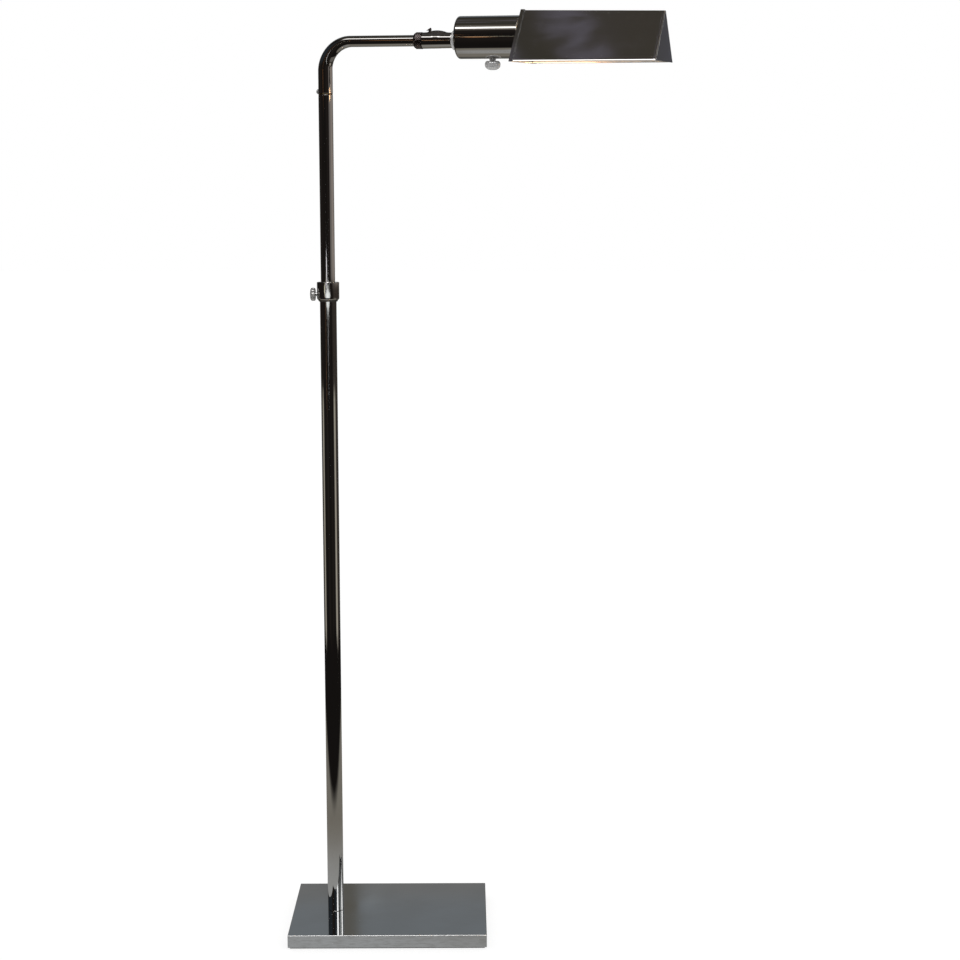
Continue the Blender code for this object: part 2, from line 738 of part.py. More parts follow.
CHROME = new_material("polished_chrome", (0.55, 0.55, 0.56), 0.05, 1.0)
DARK_CHROME = new_material("knurled_chrome", (0.35, 0.34, 0.34), 0.25, 1.0)
BRIGHT_CHROME = new_material("bright_chrome", (0.75, 0.75, 0.76), 0.12, 1.0)
ZINC = new_material("zinc_plated_steel", (0.5, 0.5, 0.48), 0.4, 1.0)
BRASS = new_material("brass", (0.7, 0.5, 0.22), 0.3, 1.0)
LAMP_CAP = new_material("lamp_cap", (0.7, 0.7, 0.7), 0.35, 1.0)
PLASTIC = new_material("black_plastic", (0.03, 0.03, 0.03), 0.5, 0.0)
CERAMIC = new_material("ceramic", (0.8, 0.78, 0.72), 0.3, 0.0)
FELT = new_material("felt", (0.05, 0.05, 0.05), 0.95, 0.0)
GLASS = new_material("frosted_glass", (0.95, 0.9, 0.82), 0.4, 0.0)

arm_frame = new_frame("arm_frame", (0, 0, ARM_HEIGHT), (0.0, 0.0, ARM_SWIVEL))
axis_frame = new_frame("axis_frame", rotation=(0.0, ARM_DROOP, 0.0), parent=arm_frame)
head_frame = new_frame("head_frame", rotation=(HEAD_ROLL, 0.0, 0.0), parent=axis_frame)
housing_frame = new_frame("housing_frame", (0, 0, HEAD_RISE), parent=head_frame)

build_base()
build_pole()
build_clamp()
build_mast()
build_arm_tube(arm_frame)
build_swivel_barrel(axis_frame)
build_friction_screw(axis_frame)
build_neck(head_frame)
build_housing(housing_frame, head_frame)
build_socket(housing_frame, head_frame)
build_bulb(housing_frame)
build_switch(housing_frame)
build_canopy(housing_frame)
back_plate = build_shade_plates(housing_frame)
build_shade_fixing(housing_frame, back_plate)
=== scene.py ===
"""Looks for the adjustable arm floor lamp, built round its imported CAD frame.

Metres, +Z up, as in the CAD. The dimensions below are in millimetres and repeat the CAD's own.
"""

import math

import bmesh
import bpy
from mathutils import Matrix, Vector, noise


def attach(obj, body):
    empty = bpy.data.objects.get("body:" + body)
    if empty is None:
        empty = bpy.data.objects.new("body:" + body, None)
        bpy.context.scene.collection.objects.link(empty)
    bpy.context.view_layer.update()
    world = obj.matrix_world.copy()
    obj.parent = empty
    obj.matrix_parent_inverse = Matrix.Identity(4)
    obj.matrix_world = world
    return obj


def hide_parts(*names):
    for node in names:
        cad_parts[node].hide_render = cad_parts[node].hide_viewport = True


MM = 0.001

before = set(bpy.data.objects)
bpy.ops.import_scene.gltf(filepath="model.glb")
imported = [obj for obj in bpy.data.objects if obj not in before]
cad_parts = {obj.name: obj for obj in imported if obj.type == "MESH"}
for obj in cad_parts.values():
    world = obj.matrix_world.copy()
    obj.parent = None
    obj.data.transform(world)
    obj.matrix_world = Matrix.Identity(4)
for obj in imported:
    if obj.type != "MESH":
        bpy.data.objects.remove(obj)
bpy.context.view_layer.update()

# ---------------------------------------------------------------- main dimensions, in millimetres

PLATE_LENGTH, PLATE_WIDTH = 269.4, 186.0
PLATE_LEFT, PLATE_BOTTOM, PLATE_TOP = -58.4, 1.8, 19.5

POLE_RADIUS, POLE_BORE = 11.1, 10.3
POLE_FOOT, POLE_TOP = 19.8, 874.4
COLLAR_SEAT, LINER_SEAT, COLLAR_TOP = 868.2, 880.0, 894.3
CLAMP_HEIGHT = 877.8

MAST_RADIUS, MAST_BORE = 9.525, 8.325
MAST_FOOT, MAST_TOP = 645.0, 1137.5
GUIDE_BORE = 9.875

ARM_HEIGHT = 1205.8
ARM_FOOT, SWIVEL_SCREW_HEIGHT = 1139.1, 1142.2
ARM_END, ARM_END_RADIUS, ARM_WALL = 139.5, 7.1, 1.2
BEND_RADIUS = 36.0
FRICTION_SCREW_X = 143.4
BOSS_X, BOSS_HALF_LENGTH, BOSS_HALF_WIDTH, BOSS_HALF_HEIGHT, BOSS_RISE = 153.0, 20.0, 7.0, 10.2, 2.4

NECK_BORE = 7.1
HOUSING_START, HOUSING_END = 182.3, 264.36
HOUSING_RADIUS, HOUSING_WALL, HOUSING_CORNER = 26.5, 1.2, 3.0
SWITCH_X, KNOB_FOOT = 227.5, 29.1

SHADE_START, SHADE_END = 264.4, 448.3
RIDGE_AT_START, RIDGE_AT_END, RIDGE_RADIUS = 32.7, 29.6, 2.5
HEM_HEIGHT, HALF_WIDTH = -31.4, 58.4
HEM_TILT = math.radians(24.3)
SHADE_SCREWS, SHADE_SCREW_CIRCLE = 3, 22.0

BULB_RADIUS, BULB_WALL, BULB_TIP_CENTRE = 15.0, 0.9, 330.0

# ---------------------------------------------------------------- frames

ARM_TURN, ARM_DROOP = math.radians(16.5), math.radians(1.3)
HEAD_ROLL, HOUSING_RISE = math.radians(4.6), 3.2

ALONG_X = Matrix.Rotation(math.pi / 2, 4, "Y")
ALONG_MINUS_X = Matrix.Rotation(-math.pi / 2, 4, "Y")
ALONG_Y = Matrix.Rotation(-math.pi / 2, 4, "X")
DOWNWARD = Matrix.Rotation(math.pi, 4, "X")


def at(x, y, z):
    return Matrix.Translation((MM * x, MM * y, MM * z))


WORLD_FRAME = Matrix.Identity(4)
ARM_FRAME = at(0, 0, ARM_HEIGHT) @ Matrix.Rotation(-ARM_TURN, 4, "Z")
AXIS_FRAME = ARM_FRAME @ Matrix.Rotation(ARM_DROOP, 4, "Y")
HEAD_FRAME = AXIS_FRAME @ Matrix.Rotation(HEAD_ROLL, 4, "X")
HOUSING_FRAME = HEAD_FRAME @ at(0, 0, HOUSING_RISE)

CLAMP_PLACE = at(0, 0, CLAMP_HEIGHT) @ ALONG_MINUS_X
SWIVEL_SCREW_PLACE = ARM_FRAME @ at(0, 0, SWIVEL_SCREW_HEIGHT - ARM_HEIGHT) @ ALONG_MINUS_X
FRICTION_PLACE = AXIS_FRAME @ at(FRICTION_SCREW_X, 0, 0)
SWITCH_PLACE = HOUSING_FRAME @ at(SWITCH_X, 0, 0) @ DOWNWARD


def shade_screw_places():
    """The three screws between the housing's ring and the shade, each with its axis along Z."""
    for i in range(SHADE_SCREWS):
        angle = math.radians(90 + 360 * i / SHADE_SCREWS)
        side, rise = SHADE_SCREW_CIRCLE * math.cos(angle), SHADE_SCREW_CIRCLE * math.sin(angle)
        yield HOUSING_FRAME @ at(0, side, rise) @ ALONG_X


# ---------------------------------------------------------------- node helpers


def linear(*levels):
    """A colour from 0-255 screen levels, as the linear RGBA that nodes take."""
    out = []
    for level in levels:
        share = level / 255
        out.append(share / 12.92 if share <= 0.04045 else ((share + 0.055) / 1.055) ** 2.4)
    return (*out, 1.0)


class Tree:
    """Short calls that add nodes to one node tree and give back an output socket."""

    def __init__(self, tree):
        self.tree = tree
        tree.nodes.clear()

    def add(self, kind, inputs=None, output=0, **settings):
        node = self.tree.nodes.new(kind)
        for name, value in settings.items():
            setattr(node, name, value)
        for key, value in (inputs or {}).items():
            if isinstance(value, bpy.types.NodeSocket):
                self.tree.links.new(value, node.inputs[key])
            else:
                node.inputs[key].default_value = value
        return node.outputs[output]

    def math(self, operation, a, b=0.0):
        return self.add("ShaderNodeMath", {0: a, 1: b}, operation=operation)

    def step(self, value, low, high):
        """0 below low, 1 above high, smooth between."""
        return self.add(
            "ShaderNodeMapRange",
            {"Value": value, "From Min": low, "From Max": high},
            interpolation_type="SMOOTHSTEP",
        )

    def band(self, value, low, high, soft):
        rise = self.step(value, low - soft, low + soft)
        fall = self.step(value, high - soft, high + soft)
        return self.math("MULTIPLY", rise, self.math("SUBTRACT", 1.0, fall))

    def spread(self, value, low, high):
        """Rescales 0-1 to low-high."""
        return self.add("ShaderNodeMapRange", {"Value": value, "To Min": low, "To Max": high})

    def mix(self, share, a, b):
        return self.add("ShaderNodeMix", {0: share, 6: a, 7: b}, 2, data_type="RGBA")

    def object_coords(self, turn=0.0):
        coords = self.add("ShaderNodeTexCoord", output=3)
        if turn == 0.0:
            return coords
        return self.add("ShaderNodeMapping", {"Vector": coords, "Rotation": (0.0, 0.0, turn)})

    def stretched(self, vector, scale):
        return self.add("ShaderNodeMapping", {"Vector": vector, "Scale": scale})

    def noise(self, vector, scale, detail=2.0, roughness=0.5):
        values = {"Vector": vector, "Scale": scale, "Detail": detail, "Roughness": roughness}
        return self.add("ShaderNodeTexNoise", values)

    def distance(self, vector, x=0.0, y=0.0):
        """How far a place is from (x, y, 0)."""
        shifted = self.add("ShaderNodeMapping", {"Vector": vector, "Location": (-x, -y, 0.0)})
        return self.add("ShaderNodeVectorMath", {0: shifted}, 1, operation="LENGTH")

    def bump(self, height, distance, normal=None):
        values = {"Height": height, "Distance": distance, "Strength": 1.0}
        if normal is not None:
            values["Normal"] = normal
        return self.add("ShaderNodeBump", values)

    def surface(self, shader, kind="ShaderNodeOutputMaterial"):
        node = self.tree.nodes.new(kind)
        self.tree.links.new(shader, node.inputs["Surface"])


def material_tree(name):
    material = bpy.data.materials.new(name)
    material.use_nodes = True
    return material, Tree(material.node_tree)


# ---------------------------------------------------------------- materials


UPRIGHT, LEVEL, EVEN = (1.0, 1.0, 0.06), (0.06, 1.0, 1.0), (1.0, 1.0, 1.0)


def metal(name, bright, dull, rough, grain=EVEN, ripple=0.0, turn=0.0, plate=1.0, haze=0.3):
    """Plated or bare metal with faint smudges and a fine drawn or turned grain.

    plate below 1 leaves a satin metal that also scatters some light. turn brings the arm's axis to X.
    """
    material, t = material_tree(name)
    coords = t.object_coords(turn)
    smudges = t.step(t.noise(coords, 15.0, 3.0), 0.35, 0.75)
    fine = t.noise(t.stretched(coords, grain), 620.0, 2.0, 0.55)
    marks = t.noise(t.stretched(coords, grain), 90.0)
    colour = t.mix(t.math("MULTIPLY", smudges, haze), bright, dull)
    colour = t.mix(t.math("MULTIPLY", t.step(fine, 0.45, 0.8), haze * 0.4), colour, dull)
    worn = t.spread(smudges, rough, rough * 1.5)
    normal = t.bump(fine, 0.000001 + rough * 0.00001)
    if ripple > 0.0:
        normal = t.bump(t.noise(coords, 60.0, 1.0), ripple, normal)
    values = {
        "Base Color": colour,
        "Metallic": plate,
        "Roughness": t.math("ADD", worn, t.math("MULTIPLY", marks, rough * 0.4)),
        "Normal": normal,
    }
    t.surface(t.add("ShaderNodeBsdfPrincipled", values))
    return material


def moulded(name, colour, worn, rough, size, depth):
    """Plastic, felt or ceramic: a pebbled or fibrous surface with paler worn patches."""
    material, t = material_tree(name)
    coords = t.object_coords()
    grain = t.noise(coords, size, 5.0, 0.65)
    patches = t.step(t.noise(coords, 60.0, 3.0, 0.6), 0.45, 0.75)
    shade = t.mix(t.math("MULTIPLY", patches, 0.6), colour, worn)
    values = {
        "Base Color": t.mix(t.math("MULTIPLY", grain, 0.35), shade, worn),
        "Roughness": t.spread(grain, rough * 0.85, min(1.0, rough * 1.15)),
        "Normal": t.bump(grain, depth),
    }
    t.surface(t.add("ShaderNodeBsdfPrincipled", values))
    return material


def lit_glass(name):
    """The frosted envelope of the lit lamp: brightest in the middle, paler and duller at its neck."""
    material, t = material_tree(name)
    coords = t.object_coords(ARM_TURN)
    along = t.add("ShaderNodeSeparateXYZ", {0: coords}, 0)
    frost = t.noise(coords, 900.0, 4.0, 0.7)
    glow = t.math("MULTIPLY", t.band(along, 0.243, 0.342, 0.012), t.spread(frost, 0.92, 1.0))
    values = {
        "Base Color": t.mix(frost, linear(246, 238, 226), linear(255, 250, 240)),
        "Roughness": t.spread(frost, 0.35, 0.5),
        "Normal": t.bump(frost, 0.000004),
        "Emission Color": t.mix(glow, linear(255, 150, 80), linear(255, 214, 160)),
        "Emission Strength": t.spread(glow, 1.6, 11.0),
    }
    t.surface(t.add("ShaderNodeBsdfPrincipled", values))
    return material


CHROME = metal("pole_chrome", linear(236, 234, 231), linear(206, 201, 196), 0.03, UPRIGHT, 0.000016)
ARM_CHROME = metal(
    "arm_chrome", linear(236, 233, 229), linear(206, 200, 195), 0.03, LEVEL, 0.000006, ARM_TURN
)
PLATE_CHROME = metal("plate_chrome", linear(236, 236, 236), linear(214, 213, 210), 0.045, LEVEL, 0.000004)
# A pale satin chrome that paints a highlight line along the base's front top edge.
EDGE_HIGHLIGHT_CHROME = metal("plate_edge_highlight", linear(250, 250, 250), linear(230, 229, 227), 0.2, LEVEL, plate=0.5)
SHADE_CHROME = metal(
    "shade_chrome", linear(234, 231, 229), linear(214, 208, 205), 0.045, LEVEL, 0.000008, ARM_TURN
)
SHADE_INSIDE = metal(
    "shade_inside", linear(238, 232, 224), linear(214, 202, 190), 0.32, LEVEL, turn=ARM_TURN, plate=0.6
)
SCREW_CHROME = metal("screw_chrome", linear(238, 237, 236), linear(205, 201, 197), 0.16, plate=0.8)
KNOB_CHROME = metal("knob_chrome", linear(254, 254, 254), linear(214, 212, 210), 0.12, plate=0.68)
CLAMP_CHROME = metal(
    "clamp_chrome", linear(222, 220, 218), linear(150, 147, 143), 0.14, plate=0.8, haze=0.6
)
# A pale satin chrome for the neck flange: a satin finish whose even glow is also a painted highlight on
# its rim.
FLANGE_HIGHLIGHT_CHROME = metal("flange_highlight_chrome", linear(254, 254, 254), linear(226, 226, 224), 0.2, plate=0.6)
KNURL_CHROME = metal("knurl_chrome", linear(150, 138, 136), linear(96, 86, 84), 0.22, haze=0.7)
ZINC = metal("zinc_plate", linear(188, 188, 182), linear(150, 147, 136), 0.34, plate=0.85, haze=0.8)
BRASS = metal("turned_brass", linear(214, 178, 104), linear(168, 128, 66), 0.26, UPRIGHT, haze=0.8)
CAP_METAL = metal(
    "cap_metal", linear(205, 203, 200), linear(160, 156, 150), 0.28, LEVEL, turn=ARM_TURN, haze=0.8
)
PLASTIC = moulded("black_plastic_grain", linear(30, 30, 31), linear(52, 51, 50), 0.48, 1600.0, 0.00002)
CERAMIC = moulded("glazed_ceramic", linear(232, 228, 216), linear(214, 206, 190), 0.25, 500.0, 0.00001)
FELT = moulded("felt_pile", linear(38, 38, 38), linear(70, 68, 66), 0.95, 2600.0, 0.0003)
GLASS = lit_glass("lit_frosted_glass")

# ---------------------------------------------------------------- mesh helpers

SMOOTH_ANGLE = math.radians(34.0)
RIM_ANGLE = math.radians(40.0)
CORNER_STEPS = 3


def smooth(mesh):
    mesh.shade_smooth()
    mesh.set_sharp_from_angle(angle=SMOOTH_ANGLE)


def finish_mesh(name, builder, place, materials=()):
    """The bmesh as an object, with its vertices in the row frame."""
    bmesh.ops.remove_doubles(builder, verts=builder.verts, dist=1e-7)
    builder.transform(place)
    bmesh.ops.recalc_face_normals(builder, faces=builder.faces)
    mesh = bpy.data.meshes.new(name)
    builder.to_mesh(mesh)
    builder.free()
    smooth(mesh)
    for material in materials:
        mesh.materials.append(material)
    obj = bpy.data.objects.new(name, mesh)
    bpy.context.scene.collection.objects.link(obj)
    return obj


def weight_normals(obj):
    """Keeps wide faces flat beside their rounded edges."""
    modifier = obj.modifiers.new("Normals", "WEIGHTED_NORMAL")
    modifier.keep_sharp = True
    modifier.weight = 80


def rounded_rim(obj, width):
    rim = obj.modifiers.new("Rim", "BEVEL")
    rim.width = MM * width
    rim.segments = 3
    rim.limit_method = "ANGLE"
    rim.angle_limit = RIM_ANGLE
    rim.harden_normals = False


def carve(obj, cutters, operation="DIFFERENCE"):
    for cutter in cutters:
        modifier = obj.modifiers.new("Carve", "BOOLEAN")
        modifier.object = cutter
        modifier.operation = operation
        modifier.solver = "EXACT"
    bpy.context.view_layer.update()
    graph = bpy.context.evaluated_depsgraph_get()
    mesh = bpy.data.meshes.new_from_object(obj.evaluated_get(graph))
    obj.modifiers.clear()
    obj.data = mesh
    smooth(mesh)
    for cutter in cutters:
        bpy.data.objects.remove(cutter)


def settle(obj, node, body, cuts=()):
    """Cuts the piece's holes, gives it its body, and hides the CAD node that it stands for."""
    if cuts:
        carve(obj, cuts)
    weight_normals(obj)
    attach(obj, body)
    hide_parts(node)
    return obj


# Outlines are lists of (radius, height) points, turned about Z.


def ring(outer, inner, bottom, top, chamfer=0.0):
    if chamfer == 0.0:
        return [(outer, top), (outer, bottom), (inner, bottom), (inner, top)]
    return [
        (outer - chamfer, top),
        (outer, top - chamfer),
        (outer, bottom + chamfer),
        (outer - chamfer, bottom),
        (inner, bottom),
        (inner, top),
    ]


def rod(radius, bottom, top):
    return [(0.0, top), (radius, top), (radius, bottom), (0.0, bottom)]


def arc(centre, radius, start, end, steps):
    angles = [math.radians(start + (end - start) * i / steps) for i in range(steps + 1)]
    return [(centre[0] + radius * math.cos(a), centre[1] + radius * math.sin(a)) for a in angles]


def bend(start, corner, end, steps):
    """Points of a curve from start to end that leans towards corner."""
    shares = [k / steps for k in range(steps + 1)]
    return [start * (1 - s) ** 2 + corner * 2 * s * (1 - s) + end * s**2 for s in shares]


def is_closed(outline):
    """A closed outline stays off the axis. An open one starts and ends on it."""
    return outline[0][0] > 1e-9


def softened(outline, radius):
    """Rounds each corner of an outline."""
    count = len(outline)
    out = []
    for i, (r, h) in enumerate(outline):
        here = Vector((r, h))
        before = Vector(outline[(i - 1) % count]) - here
        after = Vector(outline[(i + 1) % count]) - here
        on_axis = not is_closed(outline) and i in (0, count - 1)
        if on_axis or min(before.length, after.length) < 1e-6 or before.angle(-after) < math.radians(18):
            out.append((r, h))
            continue
        reach = min(radius, 0.42 * before.length, 0.42 * after.length)
        start = here + before.normalized() * reach
        end = here + after.normalized() * reach
        out += [(point.x, point.y) for point in bend(start, here, end, CORNER_STEPS)]
    return out


def divided(outline, step):
    """Adds points so that no stretch of the outline is longer than step."""
    closed = is_closed(outline)
    out = []
    ends = outline[1:] + ([outline[0]] if closed else [])
    for (r0, h0), (r1, h1) in zip(outline, ends):
        parts = max(1, math.ceil(math.hypot(r1 - r0, h1 - h0) / step))
        out += [(r0 + (r1 - r0) * k / parts, h0 + (h1 - h0) * k / parts) for k in range(parts)]
    return out if closed else out + [outline[-1]]


def lathe_mesh(outline, steps, radial=None):
    """A turned mesh about Z. radial(angle, radius, height) may move a point in or out."""
    builder = bmesh.new()
    rows = []
    for r, h in outline:
        if r <= 1e-9:
            rows.append([builder.verts.new((0.0, 0.0, MM * h))])
            continue
        row = []
        for i in range(steps):
            angle = 2 * math.pi * i / steps
            reach = MM * (radial(angle, r, h) if radial else r)
            row.append(builder.verts.new((reach * math.cos(angle), reach * math.sin(angle), MM * h)))
        rows.append(row)
    pairs = list(zip(rows, rows[1:])) + ([(rows[-1], rows[0])] if is_closed(outline) else [])
    for a, b in pairs:
        for i in range(steps):
            j = (i + 1) % steps
            corners = [a[i % len(a)], a[j % len(a)], b[j % len(b)], b[i % len(b)]]
            corners = [v for k, v in enumerate(corners) if v not in corners[:k]]
            if len(corners) > 2:
                builder.faces.new(corners)
    return builder


def turned(
    node, outline, material, body, place, soft=0.3, steps=96, radial=None, cuts=(), split=0.0
):
    """A finely turned piece that stands for a CAD node of the same outline."""
    outline = softened(outline, soft)
    if split > 0.0:
        outline = divided(outline, split)
    obj = finish_mesh(node + "_fine", lathe_mesh(outline, steps, radial), place, [material])
    return settle(obj, node, body, cuts)


def drill(radius, bottom, top, place, steps=48):
    return finish_mesh("drill", lathe_mesh(rod(radius, bottom, top), steps), place)


def block(size, bevel=0.0, segments=3, taper=None):
    """A box mesh in a bmesh, in its own frame, with rounded edges. taper(corner) may move a corner."""
    builder = bmesh.new()
    bmesh.ops.create_cube(builder, size=MM)
    bmesh.ops.scale(builder, vec=size, verts=builder.verts)
    if taper:
        for vert in builder.verts:
            taper(vert.co)
    if bevel > 0.0:
        bmesh.ops.bevel(
            builder,
            geom=list(builder.edges),
            offset=MM * bevel,
            segments=segments,
            profile=0.5,
            affect="EDGES",
            clamp_overlap=True,
        )
    return builder


def join_rows(builder, a, b, closed=True):
    """Faces between two rows of vertices of equal length."""
    for k in range(len(a) if closed else len(a) - 1):
        j = (k + 1) % len(a)
        builder.faces.new((a[k], a[j], b[j], b[k]))


# ---------------------------------------------------------------- base


def build_base():
    middle = at(PLATE_LEFT + PLATE_LENGTH / 2, 0.0, (PLATE_BOTTOM + PLATE_TOP) / 2)
    steel = block((PLATE_LENGTH, PLATE_WIDTH, PLATE_TOP - PLATE_BOTTOM), 1.0, 4)
    plate = finish_mesh("base_plate_fine", steel, middle, [PLATE_CHROME, EDGE_HIGHLIGHT_CHROME])
    groove = block((8.0, PLATE_WIDTH / 2, 9.8))
    cuts = [
        drill(5.2, 0.0, 21.0, WORLD_FRAME),
        drill(16.0, 0.0, 10.8, WORLD_FRAME, 96),
        finish_mesh("groove", groove, at(0.0, PLATE_WIDTH / 4 + 8.0, 4.9)),
    ]
    settle(plate, "base_plate", "base", cuts)
    # Only the front top edge takes the pale satin chrome: a painted highlight line along it.
    for face in plate.data.polygons:
        if face.normal.y < -0.2 and face.normal.z > 0.2:
            face.material_index = 1
    bushing = [(5.4, 2.3), (5.4, 0.3), (3.6, 0.3), (3.6, -11.0), (2.6, -11.0), (2.6, 2.3)]
    rear = at(0.0, PLATE_WIDTH / 2, 5.8) @ ALONG_Y
    turned("cord_bushing", bushing, PLASTIC, "base", rear, 0.5, 64)


def build_pole():
    tube = ring(POLE_RADIUS, POLE_BORE, POLE_FOOT, POLE_TOP)
    turned("lower_pole", tube, CHROME, "base", WORLD_FRAME, 0.35, 128)
    collar = [
        (14.1, COLLAR_TOP),
        (14.9, COLLAR_TOP - 0.8),
        *arc((11.7, 873.2), 3.2, 0, -60, 8),
        (12.3, COLLAR_SEAT),
        (11.4, COLLAR_SEAT),
        (11.4, POLE_TOP + 0.3),
        (GUIDE_BORE, POLE_TOP + 0.3),
        (GUIDE_BORE, LINER_SEAT),
        (11.2, LINER_SEAT),
        (11.2, COLLAR_TOP),
    ]
    hole = drill(2.8, 8.0, 16.0, CLAMP_PLACE)
    turned("clamp_collar", collar, CHROME, "base", WORLD_FRAME, 0.4, 128, cuts=[hole])
    liner = ring(10.9, GUIDE_BORE, LINER_SEAT + 0.3, COLLAR_TOP - 0.3)
    turned("collar_liner", liner, PLASTIC, "base", WORLD_FRAME, 0.25, 96)
    mast = ring(MAST_RADIUS, MAST_BORE, MAST_FOOT, MAST_TOP)
    turned("inner_pole", mast, CHROME, "mast", WORLD_FRAME, 0.35, 128)


def scallops(count, depth, start, end):
    """Hollows round a knob's rim, outside its 5 mm core and between two heights."""

    def radial(angle, radius, height):
        if not start <= height <= end or radius < 5.0:
            return radius
        hollow = (0.5 - 0.5 * math.cos(count * angle)) ** 1.6
        return radius - depth * hollow * min(1.0, (radius - 5.0) / 2.0)

    return radial


def build_clamp():
    screw = rod(2.5, 11.5, 22.1)
    turned("clamp_screw", screw, SCREW_CHROME, "height_screw", CLAMP_PLACE, 0.3, 64)
    knob = [
        (0.0, 24.0),
        (3.2, 23.9),
        (6.5, 23.5),
        (8.0, 22.7),
        (8.7, 21.6),
        (8.7, 18.4),
        (8.2, 17.3),
        (6.9, 16.8),
        (2.8, 16.8),
        (2.8, 22.4),
        (0.0, 22.4),
    ]
    turned(
        "clamp_knob",
        knob,
        CLAMP_CHROME,
        "height_screw",
        CLAMP_PLACE,
        0.5,
        160,
        scallops(8, 1.3, 16.9, 23.95),
        split=0.7,
    )


# ---------------------------------------------------------------- arm


def arm_path(steps=56):
    """The arm's centre line in its frame, as (x, z, share of the way round the bend)."""
    turn = math.pi / 2 + ARM_DROOP
    tangent = BEND_RADIUS * math.tan(turn / 2)
    foot = ARM_FOOT - ARM_HEIGHT
    path = [(0.0, foot, 0.0), (0.0, foot + 0.4, 0.0), (0.0, -tangent - 1.0, 0.0)]
    for i in range(steps + 1):
        angle = turn * i / steps
        x = BEND_RADIUS - BEND_RADIUS * math.cos(angle)
        path.append((x, BEND_RADIUS * math.sin(angle) - tangent, i / steps))
    for reach in (BEND_RADIUS + 2.0, ARM_END - 0.4, ARM_END):
        path.append((reach * math.cos(ARM_DROOP), -reach * math.sin(ARM_DROOP), 1.0))
    return path


def tube_row(builder, path, i, wall, sides=96):
    """A row of vertices square to the path at its point i, inside the tube's surface by wall."""
    x, z, share = path[i]
    before, after = path[max(i - 1, 0)], path[min(i + 1, len(path) - 1)]
    ahead = Vector((after[0] - before[0], 0.0, after[1] - before[1])).normalized()
    side = Vector((ahead.z, 0.0, -ahead.x))
    radius = MAST_RADIUS + (ARM_END_RADIUS - MAST_RADIUS) * share - wall
    if wall == 0.0 and i in (0, len(path) - 1):
        radius -= 0.3
    row = []
    for k in range(sides):
        angle = 2 * math.pi * k / sides
        offset = side * math.cos(angle) + Vector((0, 1, 0)) * math.sin(angle)
        row.append(builder.verts.new(MM * (Vector((x, 0.0, z)) + radius * offset)))
    return row


def build_arm():
    path = arm_path()
    builder = bmesh.new()
    rows = [tube_row(builder, path, i, 0.0) for i in range(len(path))]
    rows += [tube_row(builder, path, i, ARM_WALL) for i in reversed(range(len(path)))]
    for a, b in zip(rows, rows[1:] + rows[:1]):
        join_rows(builder, a, b)
    tube = finish_mesh("arm_tube_fine", builder, ARM_FRAME, [ARM_CHROME])
    settle(tube, "arm_tube", "arm", [drill(2.2, 4.0, 12.0, SWIVEL_SCREW_PLACE)])


def build_swivel_screw():
    screw = [
        (0.0, 12.625),
        (1.0, 12.55),
        (1.9, 12.25),
        (2.7, 11.6),
        (3.2, 10.7),
        (3.4, 9.825),
        (1.9, 9.825),
        (1.9, 6.5),
        (0.0, 6.5),
    ]
    slot = finish_mesh("slot", block((8.0, 0.8, 1.6)), SWIVEL_SCREW_PLACE @ at(0, 0, 12.6))
    turned(
        "swivel_screw",
        screw,
        SCREW_CHROME,
        "arm",
        SWIVEL_SCREW_PLACE,
        0.2,
        64,
        cuts=[slot],
    )


def knurl(count, pitch, depth, start, end):
    """Diamond knurling on a 10.6 mm rim, between two heights."""

    def wave(value):
        return 1.0 - abs(2.0 * (value % 1.0) - 1.0)

    def radial(angle, radius, height):
        if radius < 10.3 or not start <= height <= end:
            return radius
        turn = count * angle / (2 * math.pi)
        rise = height / pitch
        return radius - depth * (1.0 - min(wave(turn + rise), wave(turn - rise)) ** 0.7)

    return radial


def build_gland():
    gland = [(10.0, 134.5), (10.6, 133.7), (10.6, 126.3), (8.9, 123.7), (7.4, 123.7), (7.4, 134.5)]
    turned(
        "gland_nut",
        gland,
        KNURL_CHROME,
        "arm",
        AXIS_FRAME @ ALONG_X,
        0.2,
        264,
        knurl(30, 2.5, 0.4, 126.4, 133.6),
        split=0.32,
    )


def boss_radial(angle, radius, height):
    """Raises the friction screw's boss out of the barrel: an ellipsoid blended into a cylinder."""
    along = (height - BOSS_X) / BOSS_HALF_LENGTH
    if radius < 8.6 or abs(along) >= 1.0:
        return radius
    y, z = math.sin(angle), -math.cos(angle)
    a = (y / BOSS_HALF_WIDTH) ** 2 + (z / BOSS_HALF_HEIGHT) ** 2
    b = -2.0 * z * BOSS_RISE / BOSS_HALF_HEIGHT**2
    c = (BOSS_RISE / BOSS_HALF_HEIGHT) ** 2 + along**2 - 1.0
    under_root = b * b - 4 * a * c
    if under_root <= 0.0:
        return radius
    boss = (-b + math.sqrt(under_root)) / (2 * a)
    if boss <= radius - 2.5:
        return radius
    return 0.5 * (radius + boss + math.sqrt((radius - boss) ** 2 + 0.5))


def build_barrel():
    barrel = [
        (9.2, 174.8),
        (9.7, 174.0),
        (10.2, 134.8),
        (7.4, 134.8),
        (7.4, 139.8),
        (NECK_BORE, 139.8),
        (NECK_BORE, 174.8),
    ]
    turned(
        "swivel_barrel",
        barrel,
        ARM_CHROME,
        "arm",
        AXIS_FRAME @ ALONG_X,
        0.35,
        144,
        boss_radial,
        cuts=[drill(1.8, 8.0, 16.0, FRICTION_PLACE)],
        split=0.9,
    )


def wing_taper(corner):
    """Leans the wing's box over and narrows its top."""
    corner.x -= MM
    if corner.z > 0.0:
        corner.x = MM * (1.9 if corner.x > 0.0 else 0.6)
        corner.y *= 0.6


